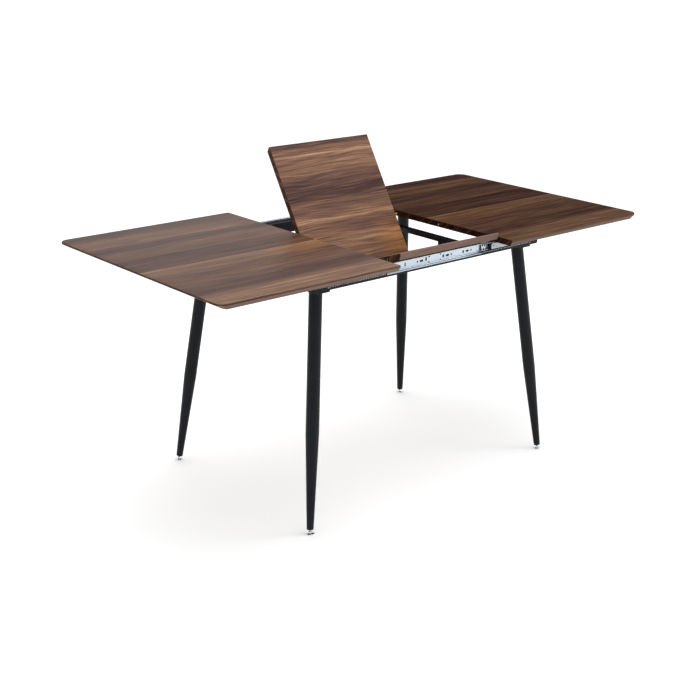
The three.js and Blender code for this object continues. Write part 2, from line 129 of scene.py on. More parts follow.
# ---------------------------------------------------------------- materials
class Graph:
    """A material's nodes, added one at a time and linked as they are added."""

    def __init__(self, name):
        self.material = bpy.data.materials.new(name)
        self.material.use_nodes = True
        self.tree = self.material.node_tree
        self.shader = self.tree.nodes["Principled BSDF"]

    def add(self, kind, inputs=None, **settings):
        node = self.tree.nodes.new(kind)
        for key, value in settings.items():
            setattr(node, key, value)
        for key, value in (inputs or {}).items():
            self.put(node.inputs[key], value)
        return node

    def put(self, socket, value):
        if isinstance(value, bpy.types.NodeSocket):
            self.tree.links.new(value, socket)
        else:
            socket.default_value = value

    def math(self, operation, *values):
        node = self.add("ShaderNodeMath", operation=operation)
        for socket, value in zip(node.inputs, values):
            self.put(socket, value)
        return node.outputs[0]

    def vector(self, x, y, z):
        return self.add("ShaderNodeCombineXYZ", {0: x, 1: y, 2: z}).outputs[0]

    def noise(self, vector, detail=3.0, roughness=0.5, scale=1.0):
        inputs = {"Vector": vector, "Scale": scale, "Detail": detail, "Roughness": roughness}
        return self.add("ShaderNodeTexNoise", inputs).outputs["Fac"]

    def ramp(self, value, stops):
        node = self.add("ShaderNodeValToRGB", {"Fac": value})
        ramp = node.color_ramp
        while len(ramp.elements) < len(stops):
            ramp.elements.new(0.5)
        for element, (place, colour) in zip(ramp.elements, stops):
            element.position = place
            element.color = colour
        return node.outputs["Color"]

    def mix(self, amount, a, b, blend="MIX"):
        node = self.add("ShaderNodeMix", data_type="RGBA", blend_type=blend)
        self.put(node.inputs[0], amount)
        self.put(node.inputs[6], a)
        self.put(node.inputs[7], b)
        return node.outputs[2]

    def bump(self, height, strength, distance):
        inputs = {"Height": height, "Strength": strength, "Distance": distance}
        return self.add("ShaderNodeBump", inputs).outputs["Normal"]

    def set(self, **values):
        for name, value in values.items():
            self.put(self.shader.inputs[name.replace("_", " ")], value)


def srgb(r, g, b):
    """A colour given on a screen's 0 to 255 scale, as the linear one that the shader takes."""
    def linear(v):
        v /= 255
        return v / 12.92 if v <= 0.04045 else ((v + 0.055) / 1.055) ** 2.4
    return (linear(r), linear(g), linear(b), 1)


def scaled(colour, factor):
    return tuple(c * factor for c in colour[:3]) + (1,)


def walnut(name, place, seed, tone, gloss, edge, bands, streaks, gold):
    """Walnut foil with its grain along X.

    place is how the board has been turned from level, and seed picks its grain. tone darkens
    its shades, and gloss is the shader's specular level. edge is the painted light on the
    moulded edge: the colours of its lip's light and shade and of the floor's reflected light
    on its undercut. bands are (y, shade) across the board, from 0 dark to 1 light.
    streaks are light lines, as (y, half width, strength). gold is (x, y, reach, strength) of
    a warm patch.
    """
    g = Graph(name)
    flat = place.inverted()
    coordinates = g.add("ShaderNodeTexCoord")
    mapped = g.add("ShaderNodeMapping", {
        "Vector": coordinates.outputs["Object"],
        "Location": flat.to_translation(),
        "Rotation": flat.to_euler("XYZ"),
    })
    axes = g.add("ShaderNodeSeparateXYZ", {0: mapped.outputs[0]})
    x, y, z = axes.outputs
    across = g.math("ADD", y, g.math("SUBTRACT", z, TABLE_HEIGHT))

    wave_x, wave_y = g.math("MULTIPLY", x, WAVE_SCALE[0]), g.math("MULTIPLY", across, WAVE_SCALE[1])
    wave = g.noise(g.vector(wave_x, wave_y, seed), 2)
    wander = g.math("MULTIPLY", g.math("SUBTRACT", wave, 0.5), WAVE_REACH)
    bent = g.math("ADD", across, wander)

    def grain(along, over, layer, detail, weight, roughness=0.55):
        """Streaks that swing the shade to both sides by a weight."""
        where = g.vector(g.math("MULTIPLY", x, along), g.math("MULTIPLY", bent, over), seed + layer)
        swing = g.math("SUBTRACT", g.noise(where, detail, roughness), 0.5)
        return g.math("MULTIPLY", swing, weight)

    def partly_bent(share):
        return g.math("ADD", across, g.math("MULTIPLY", wander, share))

    spread = g.math("DIVIDE", g.math("ADD", partly_bent(0.3), TABLE_WIDTH / 2), TABLE_WIDTH)
    value = g.ramp(spread, [((at + TABLE_WIDTH / 2) / TABLE_WIDTH, (shade, shade, shade, 1))
                            for at, shade in bands])
    middle = grain(*MIDDLE_GRAIN)
    for layer in (grain(*BROAD_GRAIN), middle, grain(*FINE_GRAIN)):
        value = g.math("ADD", value, layer)
    for centre, half_width, strength in streaks:
        off = g.math("DIVIDE", g.math("SUBTRACT", partly_bent(0.5), centre), half_width)
        bell = g.math("DIVIDE", strength, g.math("ADD", 1, g.math("MULTIPLY", off, off)))
        value = g.math("ADD", value, bell)

    colour = g.ramp(value, [(at, scaled(shade, tone)) for at, shade in WALNUT_SHADES])
    gold_x, gold_y, reach, strength = gold
    off_x = g.math("DIVIDE", g.math("SUBTRACT", x, gold_x), reach)
    off_y = g.math("DIVIDE", g.math("SUBTRACT", across, gold_y), reach)
    off = g.math("ADD", g.math("MULTIPLY", off_x, off_x), g.math("MULTIPLY", off_y, off_y))
    patch = g.math("DIVIDE", strength, g.math("ADD", 1, g.math("MULTIPLY", off, off)))
    colour = g.mix(patch, colour, GOLDEN, "MULTIPLY")

    pore_x, pore_y = g.math("MULTIPLY", x, PORE_SCALE[0]), g.math("MULTIPLY", bent, PORE_SCALE[1])
    pores = g.noise(g.vector(pore_x, pore_y, 0.0), 1)
    pore_mask = g.math("MULTIPLY", g.ramp(pores, [(0.34, WHITE), (0.42, BLACK)]), PORE_STRENGTH)
    colour = g.mix(pore_mask, colour, scaled(PORE_COLOUR, tone))
    vein_x, vein_y = g.math("MULTIPLY", x, VEIN_SCALE[0]), g.math("MULTIPLY", bent, VEIN_SCALE[1])
    veins = g.noise(g.vector(vein_x, vein_y, seed + 7.0), 3, 0.6)
    vein_mask = g.math("MULTIPLY", g.ramp(veins, [(0.34, WHITE), (0.44, BLACK)]), VEIN_STRENGTH)
    colour = g.mix(vein_mask, colour, scaled(VEIN_COLOUR, tone))

    # painted light on the moulded edge: the light and shade of the lip, then the floor's reflected
    # light on the undercut
    depth = g.math("DIVIDE", g.math("SUBTRACT", TABLE_HEIGHT, z), LIP)
    lip = g.ramp(depth, [(0.2, BLACK), (0.45, WHITE), (0.92, WHITE), (1.0, BLACK)])
    colour = g.mix(g.math("MULTIPLY", lip, LIP_STRENGTH), colour, edge[0])
    undercut = g.ramp(g.math("DIVIDE", depth, BOARD / LIP), [
        (0.30, BLACK), (0.36, WHITE), (0.985, WHITE), (0.995, BLACK)])
    colour = g.mix(g.math("MULTIPLY", undercut, UNDERCUT_STRENGTH), colour, edge[1])

    block = g.noise(g.vector(g.math("MULTIPLY", across, 42), 0.0, seed + 2.0), 2, 0.7)
    fibre = g.noise(g.vector(g.math("MULTIPLY", across, 900), g.math("MULTIPLY", z, 160), 0.0), 2)
    end_value = g.math("ADD", g.math("MULTIPLY", block, 0.7), g.math("MULTIPLY", fibre, 0.3))
    end_colour = g.ramp(end_value, [(at, scaled(shade, tone)) for at, shade in END_SHADES])
    facing = g.add("ShaderNodeSeparateXYZ", {0: coordinates.outputs["Normal"]}).outputs[0]
    end_mask = g.math("GREATER_THAN", g.math("ABSOLUTE", facing), END_FACING)
    colour = g.mix(end_mask, colour, end_colour)

    roughness = g.math("ADD", FOIL_ROUGHNESS, g.math("MULTIPLY", middle, 0.4))
    g.set(Base_Color=colour, Roughness=roughness, Specular_IOR_Level=gloss,
          Normal=g.bump(pores, 0.08, 0.0002))
    return g.material


def coated(name, colour, roughness, grain_scale, bump):
    """Powder coat or moulded plastic: a fine even texture with slight patches of sheen."""
    g = Graph(name)
    where = g.add("ShaderNodeTexCoord").outputs["Object"]
    texture = g.noise(where, 2, scale=grain_scale)
    patches = g.noise(where, 2, scale=18)
    shade = g.ramp(patches, [(0.3, scaled(colour, 0.82)), (0.7, scaled(colour, 1.18))])
    sheen = g.math("ADD", roughness, g.math("MULTIPLY", g.math("SUBTRACT", texture, 0.5), 0.14))
    g.set(Base_Color=shade, Roughness=sheen, Specular_IOR_Level=COATED_GLOSS,
          Normal=g.bump(texture, bump, 0.0002))
    return g.material


def plated(name, colour, roughness, along, across, wear, metallic=1.0):
    """Bare or plated metal, with faint drawing lines along X."""
    g = Graph(name)
    where = g.add("ShaderNodeTexCoord").outputs["Object"]
    stretched = g.add("ShaderNodeMapping", {"Vector": where, "Scale": (along, across, across)})
    lines = g.noise(stretched.outputs[0], 3)
    cloud = g.noise(where, 3, scale=30)
    mixed = g.math("ADD", g.math("MULTIPLY", lines, 0.5), g.math("MULTIPLY", cloud, 0.5))
    shade = g.ramp(mixed, [(0.32, scaled(colour, 1 - wear)), (0.66, colour)])
    rough = g.math("ADD", roughness, g.math("MULTIPLY", g.math("SUBTRACT", lines, 0.5), 0.2))
    g.set(Base_Color=shade, Roughness=rough, Metallic=metallic,
          Normal=g.bump(lines, 0.05, 0.0001))
    return g.material


COATED_GLOSS = 0.13
FOIL_ROUGHNESS = 0.44

# each pattern's scale, as (along X, across the board)
WAVE_SCALE = (2.2, 7)
PORE_SCALE = (70, 1500)
VEIN_SCALE = (5, 190)
# how far the wave bends the grain
WAVE_REACH = 0.05
PORE_STRENGTH = 0.30
VEIN_STRENGTH = 0.55
# (scale along X, scale across, seed offset, detail, swing of the shade, roughness if not usual)
BROAD_GRAIN = (1.1, 18, 0, 3, 0.34)
MIDDLE_GRAIN = (2.6, 75, 3, 5, 0.80, 0.68)
FINE_GRAIN = (7, 300, 5, 2, 0.75)

# how fully the painted light of the lip and of the undercut covers the grain
LIP_STRENGTH = 0.8
UNDERCUT_STRENGTH = 0.75
# a face that looks along X at least this squarely is a cut end
END_FACING = 0.85
PORE_COLOUR = srgb(48, 32, 26)
VEIN_COLOUR = srgb(66, 44, 36)
END_SHADES = [(0.38, srgb(40, 22, 16)), (0.5, srgb(74, 45, 33)), (0.64, srgb(128, 86, 60))]
WALNUT_SHADES = [(0.15, srgb(60, 40, 36)), (0.33, srgb(95, 69, 63)), (0.50, srgb(122, 90, 73)),
                 (0.66, srgb(149, 112, 88)), (0.88, srgb(190, 154, 124))]
GOLDEN = (1.25, 1.05, 0.72, 1)
TOP_BANDS = [
    (-0.400, 0.63), (-0.325, 0.62), (-0.290, 0.36), (-0.245, 0.36), (-0.225, 0.47), (-0.120, 0.47),
    (-0.090, 0.60), (-0.040, 0.62), (-0.036, 0.35), (0.085, 0.31), (0.097, 0.43), (0.165, 0.48),
    (0.195, 0.29), (0.225, 0.35), (0.250, 0.50), (0.315, 0.51), (0.340, 0.37), (0.400, 0.29),
]
NEAR_BANDS = [(-0.4, 0.56), (-0.2, 0.50), (-0.1, 0.42), (0, 0.5)]
FAR_BANDS = [
    (0.000, 0.48), (0.030, 0.60), (0.090, 0.60), (0.108, 0.48), (0.122, 0.42), (0.140, 0.50),
    (0.145, 0.78), (0.156, 0.62), (0.165, 0.43), (0.200, 0.47), (0.210, 0.38), (0.226, 0.26),
    (0.266, 0.26), (0.280, 0.42), (0.295, 0.46), (0.299, 0.62), (0.335, 0.52), (0.378, 0.52),
    (0.386, 0.34), (0.400, 0.28),
]
# painted light on the leaf near half's moulded edge, one colour for its lip and undercut
NEAR_EDGE = srgb(100, 78, 72)
# the tones are matched to the photograph's light, so the boards differ in their base colour
FOIL = {
    "left_top": walnut(
        "foil_left", LEVEL, seed=3.0, tone=0.56, gloss=0.07,
        edge=(srgb(57, 37, 34), srgb(103, 86, 81)),
        bands=TOP_BANDS,
        streaks=[(-0.338, 0.0015, 0.22), (-0.0385, 0.0015, 0.26),
                 (0.094, 0.0013, 0.2), (0.246, 0.0015, 0.2)],
        gold=(-0.28, -0.03, 0.12, 0.8)),
    "right_top": walnut(
        "foil_right", LEVEL, seed=11.0, tone=0.32, gloss=0.0,
        edge=(srgb(92, 70, 60), srgb(108, 93, 86)),
        bands=TOP_BANDS,
        streaks=[(-0.322, 0.0016, 0.24), (-0.0385, 0.0018, 0.3),
                 (0.094, 0.0016, 0.24), (0.315, 0.0016, 0.2)],
        gold=(0.35, -0.05, 0.2, 0.3)),
    "leaf_near_half": walnut(
        "foil_leaf_near", NEAR_PLACE, seed=5.0, tone=0.66, gloss=0.12,
        edge=(NEAR_EDGE, NEAR_EDGE),
        bands=NEAR_BANDS,
        streaks=[(-0.37, 0.002, 0.1)],
        gold=(0.1, -0.1, 0.1, 0.2)),
    "leaf_far_half": walnut(
        "foil_leaf_far", FAR_PLACE, seed=21.0, tone=0.83, gloss=0.07,
        edge=(srgb(74, 54, 48), srgb(90, 72, 64)),
        bands=FAR_BANDS,
        streaks=[(0.358, 0.0014, 0.22), (0.298, 0.0012, 0.14)],
        gold=(0.17, 0.06, 0.07, 0.9)),
}
BLACK_STEEL = coated("black_powder_coat", srgb(16, 18, 23), 0.42, 2600, 0.12)
BLACK_PLASTIC = coated("black_plastic", srgb(12, 12, 14), 0.55, 1800, 0.1)
WELD = coated("coated_weld", srgb(16, 18, 23), 0.45, 700, 0.5)
ZINC = plated("zinc_plate", srgb(184, 195, 205), 0.3, 12, 900, 0.16, 0.75)
MEMBER_ZINC = plated("zinc_plate_member", srgb(152, 164, 168), 0.34, 12, 900, 0.16, 0.75)
# dark zinc: the screws' own finish, and on the cage's legs a painted shade inside the slide
DARK_ZINC_AND_SHADE = plated("dark_zinc_and_shade", srgb(84, 90, 96), 0.35, 12, 600, 0.3)
CHROME = plated("chrome", srgb(228, 230, 234), 0.08, 200, 200, 0.05)
BRASS = plated("brass", srgb(226, 182, 96), 0.24, 200, 200, 0.15)


# ---------------------------------------------------------------- meshes
def piece(name, verts, faces, material, body, slot, smooth_under=35):
    """A new piece that rides on a body. Edges sharper than smooth_under degrees stay crisp."""
    mesh = bpy.data.meshes.new(name)
    mesh.from_pydata([tuple(v) for v in verts], [], faces)
    return finished(name, mesh, material, body, smooth_under)


def finished(name, mesh, material, body, smooth_under=35):
    work = bmesh.new()
    work.from_mesh(mesh)
    bmesh.ops.remove_doubles(work, verts=work.verts, dist=1e-7)
    bmesh.ops.recalc_face_normals(work, faces=work.faces)
    limit = math.radians(smooth_under)
    for edge in work.edges:
        edge.smooth = len(edge.link_faces) == 2 and edge.calc_face_angle() < limit
    for face in work.faces:
        face.smooth = True
    work.to_mesh(mesh)
    work.free()
    mesh.materials.clear()
    mesh.materials.append(material)
    thing = bpy.data.objects.new(name, mesh)
    bpy.context.scene.collection.objects.link(thing)
    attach(thing, body)
    return thing


def joined(*parts):
    """Several (verts, faces) as one."""
    verts, faces = [], []
    for part_verts, part_faces in parts:
        start = len(verts)
        verts.extend(part_verts)
        faces.extend([tuple(i + start for i in face) for face in part_faces])
    return verts, faces


def moved(part, place):
    verts, faces = part
    return [place @ Vector(v) for v in verts], faces


def tube_of(rings, closed_ends=True):
    """A skin over rings of points that all have the same count."""
    count = len(rings[0])
    verts = [Vector(p) for ring in rings for p in ring]
    faces = []
    for level in range(len(rings) - 1):
        for i in range(count):
            j = (i + 1) % count
            low, high = level * count, (level + 1) * count
            faces.append((low + i, low + j, high + j, high + i))
    if closed_ends:
        faces.append(tuple(range(count))[::-1])
        faces.append(tuple((len(rings) - 1) * count + i for i in range(count)))
    return verts, faces


def filleted(corners, radius, steps=4):
    """A polygon with rounded corners. A corner may give its own radius as a third number."""
    outline = []
    count = len(corners)
    for i, corner in enumerate(corners):
        here = Vector(corner[:2])
        before = Vector(corners[i - 1][:2]) - here
        after = Vector(corners[(i + 1) % count][:2]) - here
        own = corner[2] if len(corner) > 2 else radius
        own = min(own, before.length * 0.45, after.length * 0.45)
        start = here + before.normalized() * own
        end = here + after.normalized() * own
        for step in range(steps + 1):
            t = step / steps
            outline.append(start * (1 - t) ** 2 + here * (2 * t * (1 - t)) + end * t ** 2)
    return outline


def along_x(section, x0, x1):
    """A section drawn in Y and Z, run along X."""
    return tube_of([[(x, p[0], p[1]) for p in section] for x in (x0, x1)])


def lathe(profile, segments=48):
    """A surface of revolution about Z. It is closed where its profile starts or ends on Z."""
    angles = [2 * math.pi * i / segments for i in range(segments)]
    return tube_of([[(r * math.cos(a), r * math.sin(a), z) for a in angles] for r, z in profile])


def ring_lathe(profile, segments=48):
    """A ring about Z from a profile that closes on itself."""
    verts, faces = lathe(list(profile) + [profile[0]], segments)
    return verts, faces[:-2]


def stood(base, toward):
    """The place that puts the origin at base and Z towards a direction."""
    return Matrix.Translation(base) @ toward.to_track_quat("Z", "Y").to_matrix().to_4x4()


def screw_head(base, toward, radius):
    """A pan head with a hexagon socket, standing on base."""
    height = radius * 0.62

    def hexagon(angle, apothem):
        return apothem / math.cos((angle + math.pi / 6) % (math.pi / 3) - math.pi / 6)

    outer = [(radius * 0.97, 0), (radius, height * 0.2), (radius * 0.96, height * 0.55),
             (radius * 0.82, height * 0.85), (radius * 0.62, height)]
    segments = 24
    angles = [2 * math.pi * i / segments for i in range(segments)]
    rings = [[(r * math.cos(a), r * math.sin(a), z) for a in angles] for r, z in outer]
    for apothem, z in [(radius * 0.44, height), (radius * 0.42, height * 0.4)]:
        rings.append([(hexagon(a, apothem) * math.cos(a), hexagon(a, apothem) * math.sin(a), z)
                      for a in angles])
    return moved(tube_of(rings), stood(Vector(base), Vector(toward)))


def ball(centre, radius, segments=12, steps=8):
    """A ball, with a tiny flat at each pole in place of a point."""
    profile = [(radius * math.sin(math.pi * i / steps), -radius * math.cos(math.pi * i / steps))
               for i in range(steps + 1)]
    profile[0], profile[-1] = (radius * 0.05, -radius), (radius * 0.05, radius)
    return moved(lathe(profile, segments), Matrix.Translation(centre))


def stadium(x, z, width, height, y0, y1):
    """A through-cutter with round ends, run along Y."""
    r = min(width, height) / 2
    corners = [(x - width / 2, z - height / 2), (x + width / 2, z - height / 2),
               (x + width / 2, z + height / 2), (x - width / 2, z + height / 2)]
    points = filleted(corners, r * 0.98, 6)
    return tube_of([[(p[0], y, p[1]) for p in points] for y in (y0, y1)])


def bored(thing, cutters):
    """Cuts holes into a piece."""
    mesh = bpy.data.meshes.new("cutters")
    mesh.from_pydata([tuple(v) for v in cutters[0]], [], cutters[1])
    work = bmesh.new()
    work.from_mesh(mesh)
    bmesh.ops.recalc_face_normals(work, faces=work.faces)
    work.to_mesh(mesh)
    work.free()
    tool = bpy.data.objects.new("cutters", mesh)
    bpy.context.scene.collection.objects.link(tool)
    modifier = thing.modifiers.new("holes", "BOOLEAN")
    modifier.operation = "DIFFERENCE"
    modifier.solver = "EXACT"
    modifier.object = tool
    bpy.context.view_layer.update()
    evaluated = thing.evaluated_get(bpy.context.evaluated_depsgraph_get())
    result = bpy.data.meshes.new_from_object(evaluated)
    thing.modifiers.clear()
    thing.data = result
    bpy.data.objects.remove(tool)


def softened(node, material, width=0.0006, segments=2):
    """The CAD node's own shape with its edges rounded over."""
    work = bmesh.new()
    work.from_mesh(nodes[node].data)
    bmesh.ops.remove_doubles(work, verts=work.verts, dist=2e-6)
    bmesh.ops.dissolve_limit(
        work, angle_limit=math.radians(0.8), verts=work.verts, edges=work.edges)
    mesh = bpy.data.meshes.new(node + "_soft")
    work.to_mesh(mesh)
    work.free()
    thing = finished(node + "_soft", mesh, material, nodes[node]["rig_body"], 30)
    bevel = thing.modifiers.new("edges", "BEVEL")
    bevel.width = width
    bevel.segments = segments
    bevel.limit_method = "ANGLE"
    bevel.angle_limit = math.radians(30)
    bevel.harden_normals = True
    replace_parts(thing, node)


# ---------------------------------------------------------------- boards
def board_outline(x0, x1, y0, y1, moulded, end_inset, side_inset, steps=20):
    """The outline, with moulded edges drawn in and the corners between two of them round."""
    left, right = x0 + end_inset * moulded["left"], x1 - end_inset * moulded["right"]
    near, far = y0 + side_inset * moulded["near"], y1 - side_inset * moulded["far"]
    radius_x, radius_y = CORNER_RADIUS - end_inset, CORNER_RADIUS - side_inset
    outline = []
    corners = ((right, near, "right", "near", -90), (right, far, "right", "far", 0),
               (left, far, "left", "far", 90), (left, near, "left", "near", 180))
    for x, y, side, row, start in corners:
        if not (moulded[side] and moulded[row]):
            outline.append((x, y))
            continue
        centre = (x - radius_x * SIDES[side], y - radius_y * ROWS[row])
        for step in range(steps + 1):
            angle = math.radians(start + 90 * step / steps)
            outline.append((centre[0] + radius_x * math.cos(angle),
                            centre[1] + radius_y * math.sin(angle)))
    return outline


def board_levels():
    """(height, end inset, side inset) up the moulded edge: undercut, soft lip and round arris."""
    below = BOARD - LIP
    levels = []
    for drop in (below, below - 0.0004, 0.0009, 0.0004):
        share = drop / below
        softer = 0.0004 if drop == below else 0.0
        levels.append((-LIP - drop, END_UNDERCUT * share + softer, SIDE_UNDERCUT * share + softer))
    levels += [(-LIP, 0.00015, 0.00015), (-LIP + 0.0008, 0, 0)]
    for step in range(7):
        angle = math.radians(15 * step)
        inset = ARRIS * (1 - math.cos(angle))
        levels.append((-ARRIS * (1 - math.sin(angle)), inset, inset))
    return levels


def build_board(node, moulded_sides, place, holes):
    """A board with its pin holes, as (the edge's x, direction into the board, y)."""
    low, high = flat_box(node)
    moulded = {side: int(side in moulded_sides) for side in ("left", "right", "near", "far")}
    rings = [[place @ Vector((x, y, TABLE_HEIGHT + depth))
              for x, y in board_outline(low.x, high.x, low.y, high.y, moulded, end, side)]
             for depth, end, side in board_levels()]
    body = nodes[node]["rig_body"]
    thing = piece(node + "_board", *tube_of(rings), FOIL[node], body, "walnut_foil", 24)
    bores = []
    radius = PIN_RADIUS + PIN_CLEARANCE
    for edge_x, inward, y in holes:
        start = place @ Vector((edge_x - inward * OVERCUT, y, TABLE_HEIGHT - PIN_DROP))
        bore = lathe([(radius, 0), (radius, PIN_BURIED + OVERCUT)], 24)
        bores.append(moved(bore, stood(start, Vector((inward, 0, 0)))))
    bored(thing, joined(*bores))
    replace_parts(thing, node)


def flat_box(node):
    """The box that a board fills once its leaf half is turned level."""
    place = {"leaf_near_half": NEAR_PLACE, "leaf_far_half": FAR_PLACE}.get(node, LEVEL)
    points = [place.inverted() @ v.co for v in nodes[node].data.vertices]
    return (Vector([min(p[i] for p in points) for i in range(3)]),
            Vector([max(p[i] for p in points) for i in range(3)]))


def build_boards():
    for side_name, side in SIDES.items():
        low, high = flat_box(side_name + "_top")
        edge = low.x if side > 0 else high.x
        holes = [(edge, side, y) for y in PIN_ROWS[side]]
        build_board(side_name + "_top", (side_name, "near", "far"), LEVEL, holes)
        pin_z = TABLE_HEIGHT - PIN_DROP
        pins = [moved(pin_shape(), stood(Vector((edge + side * PIN_START, y, pin_z)),
                                         Vector((-side, 0, 0)))) for y in PIN_ROWS[side]]
        thing = piece(side_name + "_pins", *joined(*pins), BRASS, side_name + "_top", "brass")
        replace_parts(thing, *[f"{side_name}_pin_{i + 1}" for i in range(len(pins))])
    for row_name, row in ROWS.items():
        node = f"leaf_{row_name}_half"
        place = NEAR_PLACE if row < 0 else FAR_PLACE
        low, high = flat_box(node)
        holes = [(edge, -side, y) for side, edge in ((-1, low.x), (1, high.x))
                 for y in PIN_ROWS[side] if y * row > 0]
        build_board(node, (row_name,), place, holes)
        sockets = [moved(socket_shape(), place @ stood(Vector((edge, y, TABLE_HEIGHT - PIN_DROP)),
                                                       Vector((inward, 0, 0))))
                   for edge, inward, y in holes]
        piece(node + "_pin_sockets", *joined(*sockets), BRASS, nodes[node]["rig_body"], "brass")


def pin_shape():
    """A brass pin with a groove and a rounded tip."""
    r = PIN_RADIUS
    shank = [(r * 0.98, 0), (r, 0.0004), (r, 0.0145)]
    groove = [(r * 0.93, 0.0148), (r * 0.93, 0.0153), (r, 0.0156)]
    tip = [(r, 0.0174), (r * 0.9, 0.0183), (r * 0.62, 0.0188), (r * 0.1, 0.019)]
    return lathe(shank + groove + tip, 32)


def socket_shape():
    """A thin bush pressed into the board's edge, open where the pin goes in."""
    outer, inner = PIN_RADIUS + PIN_CLEARANCE - 0.00001, PIN_RADIUS + 0.00012
    return ring_lathe([(outer, 0.0001), (outer, 0.012), (inner, 0.012), (inner, 0.0003)], 32)


# ---------------------------------------------------------------- slides
def slide_section(row, points, radius):
    return [(row * (SLIDE_FACE + p[0]), SLIDE_Z + p[1]) for p in filleted(points, radius)]


def mirrored(half):
    """A section's upper half and the same points below it."""
    return half + [(depth, -height) + tuple(rest) for depth, height, *rest in reversed(half)]


def channel_points():
    d, h, s = SLIDE_DEPTH, SLIDE_HALF_HEIGHT, SLIDE_SHEET
    return mirrored([(0, h, 0.0022), (d, h, 0.0014), (d, h - s - SLIDE_LIP, 0.0004),
                     (d - s, h - s - SLIDE_LIP, 0.0004), (d - s, h - s, 0.001), (s, h - s, 0.0018)])


def web_points(back, mouth, h, s, bend):
    toward = math.copysign(s, mouth - back)
    return mirrored([(back, h, bend), (mouth, h, 0.0002), (mouth, h - s, 0.0002),
                     (back + toward, h - s, bend * 0.6)])


CHANNEL_HOLES = [
    # x, height above the middle, width, height
    (-0.113, 0, 0.0045, 0.0115), (-0.065, 0, 0.0055, 0.0055), (-0.049, 0, 0.013, 0.006),
    (-0.031, 0.002, 0.006, 0.0115), (-0.019, 0.0082, 0.0065, 0.0045),
    (-0.019, -0.0082, 0.0052, 0.0032), (0.027, 0.0082, 0.0065, 0.0045),
    (0.027, -0.0082, 0.0045, 0.0035), (0.038, 0, 0.0068, 0.009), (0.055, 0, 0.0135, 0.006),
    (0.071, 0, 0.0055, 0.0055), (0.120, 0, 0.0062, 0.0085), (0.137, 0, 0.0125, 0.0058),
    (0.153, 0, 0.0055, 0.0055),
]
OUTER_HOLES = {"start": 0.25, "pitch": 0.064, "count": 3, "size": 0.0048}

MEMBER_FACE = SLIDE_DEPTH - 0.0005
MEMBER_RETURN = 0.0075
# along from the member's inner end, height above the middle, width, height
MEMBER_END_HOLES = [(0.009, 0.0012, 0.0042, 0.0042), (0.02, -0.002, 0.003, 0.003)]
MEMBER_PITCH = 0.032
MEMBER_SLOT, MEMBER_HOLE = 0.0095, 0.0046
BUMPER = {"length": 0.0075, "gap": 0.0004, "back": 0.0045, "rib_half": 0.001}

CAGE_BACK, CAGE_MOUTH = 0.0022, 0.0095
# faces this close to the cage's top and bottom are its legs, which take the dark zinc as painted
# shade inside the slide
CAGE_LEG_BAND = 0.0012
CAGE_WINDOW = {"first": 0.007, "margin": 0.006, "pitch": 0.0095, "rise": 0.0055, "lean": 0.4,
               "width": 0.0058, "height": 0.0056}
CAGE_CLIP = {"back": 0.0032, "front": 0.0056, "length": 0.0018, "inset": 0.0002}
CAGE_LINER = {"back": 0.0016, "front": 0.0021, "half_height": 0.0088, "inset": 0.003}
# dark strips over the slide's lips beside the balls, which darken the slide there; they are a
# guess, and what darkens the slide there is not known
DARK_LIP_STRIP = {"back": 0.01206, "front": 0.01226, "low": 0.0108, "high": 0.0152}
BALL_DEPTH, BALL_RISE = 0.0119, 0.0124


def through(row, front, back):
    """The lowest and highest y of a cutter through a wall at these depths from the rail."""
    return sorted((row * (SLIDE_FACE + front), row * (SLIDE_FACE + back)))


def build_slides():
    for row_name, row in ROWS.items():
        node = row_name + "_slide_channel"
        low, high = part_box(node)
        section = slide_section(row, channel_points(), 0.001)
        channel = piece(node + "_formed", *along_x(section, low.x, high.x), ZINC,
                        "frame", "zinc_steel")
        size = OUTER_HOLES["size"]
        outer = [(side * (OUTER_HOLES["start"] + OUTER_HOLES["pitch"] * i), 0, size, size)
                 for side in (-1, 1) for i in range(OUTER_HOLES["count"])]
        y0, y1 = through(row, -0.001, 0.003)
        bored(channel, joined(*[stadium(x, SLIDE_Z + dz, w, h, y0, y1)
                                for x, dz, w, h in CHANNEL_HOLES + outer]))
        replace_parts(channel, node)
        for side_name, side in SIDES.items():
            build_member(side_name, side, row_name, row)
            build_cage(side_name, row_name, row)


def build_member(side_name, side, row_name, row):
    """A sliding member: a folded strip with its punched holes, and the bumper in its end."""
    node = f"{side_name}_{row_name}_slide_member"
    body = side_name + "_top"
    low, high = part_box(node)
    mouth = MEMBER_FACE - MEMBER_RETURN
    web = web_points(MEMBER_FACE, mouth, MEMBER_HALF_HEIGHT, SLIDE_SHEET, 0.0016)
    member = piece(node + "_formed", *along_x(slide_section(row, web, 0.001), low.x, high.x),
                   MEMBER_ZINC, body, "zinc_steel")
    start = low.x if side > 0 else high.x
    y0, y1 = through(row, MEMBER_FACE - 0.003, MEMBER_FACE + 0.001)
    holes = list(MEMBER_END_HOLES)
    for i in range(2, 10):
        width = MEMBER_SLOT if i % 2 else MEMBER_HOLE
        holes.append((MEMBER_PITCH * i, 0, width, MEMBER_HOLE))
    bored(member, joined(*[stadium(start + side * x, SLIDE_Z + dz, w, h, y0, y1)
                           for x, dz, w, h in holes]))
    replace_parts(member, node)
    build_bumper(node, start, side, row, body)


def build_bumper(node, start, side, row, body):
    """The black plastic block in the end of a slide member, with a rib on its face."""
    x0, x1 = sorted((start - side * BUMPER["length"], start - side * BUMPER["gap"]))
    middle = (x0 + x1) / 2
    half = MEMBER_HALF_HEIGHT - 0.0003
    section = slide_section(row, mirrored([(BUMPER["back"], half, 0.001),
                                           (MEMBER_FACE, half, 0.001)]), 0.001)
    rib = slide_section(row, mirrored([(SLIDE_DEPTH - 0.001, half - 0.002, 0.0003),
                                       (SLIDE_DEPTH - 0.0001, half - 0.003, 0.0003)]), 0.0003)
    block = joined(along_x(section, x0, x1),
                   along_x(rib, middle - BUMPER["rib_half"], middle + BUMPER["rib_half"]))
    piece(node + "_bumper", *block, BLACK_PLASTIC, body, "black_plastic")


